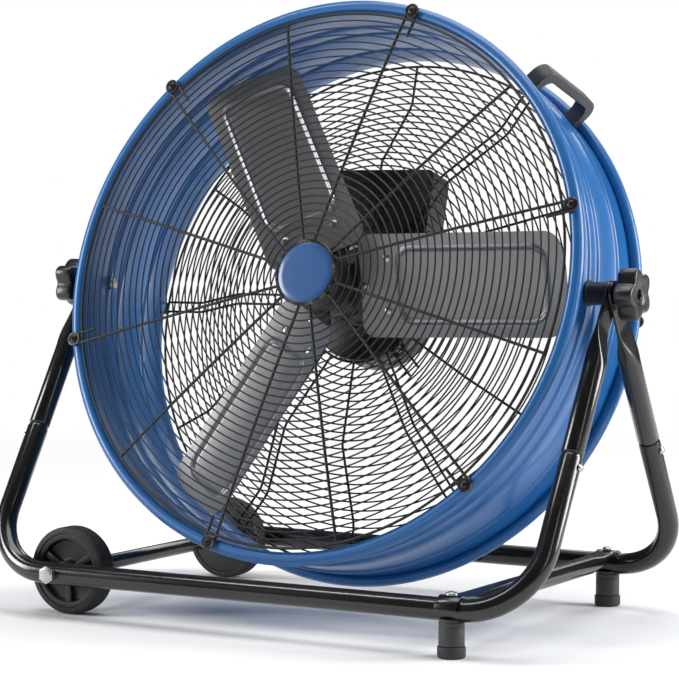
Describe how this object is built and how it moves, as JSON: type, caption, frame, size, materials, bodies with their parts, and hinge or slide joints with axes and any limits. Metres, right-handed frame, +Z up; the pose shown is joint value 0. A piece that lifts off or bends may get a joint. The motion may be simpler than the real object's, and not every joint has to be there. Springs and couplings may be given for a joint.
{
  "type": "drum fan",
  "caption": "Tilting drum fan on a wheeled tube stand, with wire guards front and rear, pressed blades, a carrying handle and clamping knobs at the pivots.",
  "frame": {"origin": "on the floor under the middle of the tilt axis", "axes": "+X along the tilt axis from the wheels to the feet, -Y the way the air blows, +Z up"},
  "size_m": [0.7718, 0.4476, 0.7176],
  "materials": {
    "blue_enamel": "semi-gloss blue enamel",
    "black_tube": "gloss black powder coat",
    "black_wire": "satin black coated wire",
    "blade_grey": "pressed sheet, dull",
    "hub_enamel": "satin dark enamel",
    "motor_enamel": "satin black enamel",
    "box_enamel": "satin black enamel",
    "stator_steel": "laminated core",
    "bearing_steel": "ground steel",
    "zinc_hardware": "zinc plated",
    "black_hardware": "black, slight gloss",
    "grey_plastic": "dark grey moulded",
    "badge_blue": "bare blue disc",
    "wheel_plastic": "black moulded",
    "tyre": "black, fine grooves",
    "foot_rubber": "soft black"
  },
  "bodies": {
    "stand": {"front_base_tube": "black_tube", "rear_base_tube": "black_tube", "front_left_leg": "black_tube", "front_right_leg": "black_tube", "rear_left_leg": "black_tube", "rear_right_leg": "black_tube", "front_left_leg_bolt": "zinc_hardware", "front_right_leg_bolt": "zinc_hardware", "rear_left_leg_bolt": "zinc_hardware", "rear_right_leg_bolt": "zinc_hardware", "cross_brace": "black_tube", "front_brace_screw": "zinc_hardware", "rear_brace_screw": "zinc_hardware", "axle": "zinc_hardware", "axle_nut": "zinc_hardware", "axle_sleeve": "black_tube", "front_foot_post": "grey_plastic", "rear_foot_post": "grey_plastic", "front_foot_pad": "foot_rubber", "rear_foot_pad": "foot_rubber"},
    "front_wheel": {"front_wheel_hub": "wheel_plastic", "front_wheel_tyre": "tyre"},
    "rear_wheel": {"rear_wheel_hub": "wheel_plastic", "rear_wheel_tyre": "tyre"},
    "drum": {"drum_shell": "blue_enamel", "front_grille": "black_wire", "rear_grille": "black_wire", "clip_1": "black_hardware", "clip_2": "black_hardware", "clip_3": "black_hardware", "clip_4": "black_hardware", "clip_5": "black_hardware", "clip_6": "black_hardware", "badge_ring": "black_hardware", "badge_disc": "badge_blue", "left_pivot_bolt": "zinc_hardware", "right_pivot_bolt": "zinc_hardware", "left_pivot_spacer": "black_hardware", "right_pivot_spacer": "black_hardware", "handle": "grey_plastic", "front_handle_screw": "zinc_hardware", "rear_handle_screw": "zinc_hardware", "motor_front_shell": "motor_enamel", "motor_rear_shell": "motor_enamel", "stator": "stator_steel", "front_bearing": "bearing_steel", "rear_bearing": "bearing_steel", "control_box": "box_enamel", "control_box_lid": "box_enamel", "capacitor": "grey_plastic", "rotary_switch": "grey_plastic", "cord_gland": "black_hardware"},
    "fan": {"rotor": "bearing_steel", "fan_hub": "hub_enamel", "blade_1": "blade_grey", "blade_2": "blade_grey", "blade_3": "blade_grey"},
    "left_knob": {"left_star_knob": "grey_plastic"},
    "right_knob": {"right_star_knob": "grey_plastic"},
    "speed_dial": {"speed_knob": "black_hardware"}
  },
  "joints": [
    {"name": "drum_tilt", "type": "hinge", "parent": "stand", "child": "drum", "pos_m": [0, 0, 0.3807], "axis": [1, 0, 0], "range_deg": [-74.24, 105.76]},
    {"name": "front_wheel_spin", "type": "hinge", "parent": "stand", "child": "front_wheel", "pos_m": [-0.256, -0.169, 0.051], "axis": [0, 1, 0], "continuous": true},
    {"name": "rear_wheel_spin", "type": "hinge", "parent": "stand", "child": "rear_wheel", "pos_m": [-0.256, 0.169, 0.051], "axis": [0, 1, 0], "continuous": true},
    {"name": "fan_spin", "type": "hinge", "parent": "drum", "child": "fan", "pos_m": [0, 0, 0.3807], "axis": [0, -0.9624, 0.2716], "continuous": true},
    {"name": "left_knob_turn", "type": "hinge", "parent": "drum", "child": "left_knob", "pos_m": [-0.37, 0, 0.3807], "axis": [1, 0, 0], "continuous": true},
    {"name": "right_knob_turn", "type": "hinge", "parent": "drum", "child": "right_knob", "pos_m": [0.37, 0, 0.3807], "axis": [1, 0, 0], "continuous": true},
    {"name": "speed_dial_turn", "type": "hinge", "parent": "drum", "child": "speed_dial", "pos_m": [0, 0.15243, 0.4606], "axis": [0, 0.9624, -0.2716], "range_deg": [0, 270]}
  ]
}
